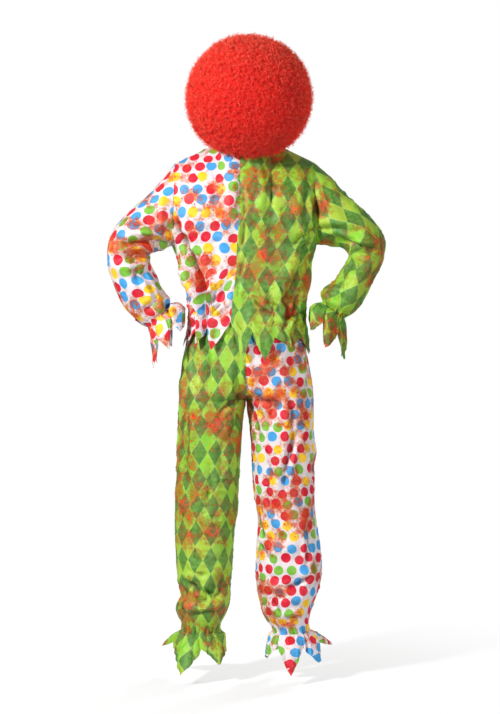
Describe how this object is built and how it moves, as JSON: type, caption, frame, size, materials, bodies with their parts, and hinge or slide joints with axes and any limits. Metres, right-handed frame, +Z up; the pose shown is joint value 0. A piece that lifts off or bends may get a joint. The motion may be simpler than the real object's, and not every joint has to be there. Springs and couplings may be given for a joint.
{
  "type": "clown costume with curly ball wig",
  "caption": "Worn clown costume: long-sleeved top and trousers in polka-dot and diamond halves with pointed frilled edges, and a round curly wig, hollow inside.",
  "frame": {"origin": "middle of the neck opening, level with the neckline, where the wearer's shoulders and neck hold the costume", "axes": "+Z up, +Y out of the costume's back, +X towards the wearer's left"},
  "size_m": [0.783, 0.3849, 1.8139],
  "materials": {
    "dotted_satin": "light satin, white with red, blue, green and yellow dots and red-brown splatter",
    "diamond_satin": "light satin, light and dark green diamonds with red-brown splatter",
    "elastic": "matt woven elastic",
    "cap_net": "matt knitted net",
    "red_curls": "fine curled fibre, soft sheen"
  },
  "bodies": {
    "root": {"top_back_left": "dotted_satin", "top_back_right": "diamond_satin", "top_front_left": "dotted_satin", "top_front_right": "diamond_satin", "sleeve_upper_left": "dotted_satin", "sleeve_lower_left": "dotted_satin", "sleeve_upper_right": "diamond_satin", "sleeve_lower_right": "diamond_satin", "trousers_back_left": "diamond_satin", "trousers_front_left": "diamond_satin", "trousers_back_right": "dotted_satin", "trousers_front_right": "dotted_satin", "waistband": "elastic", "wig_cap": "cap_net", "wig_curls": "red_curls"}
  },
  "joints": []
}
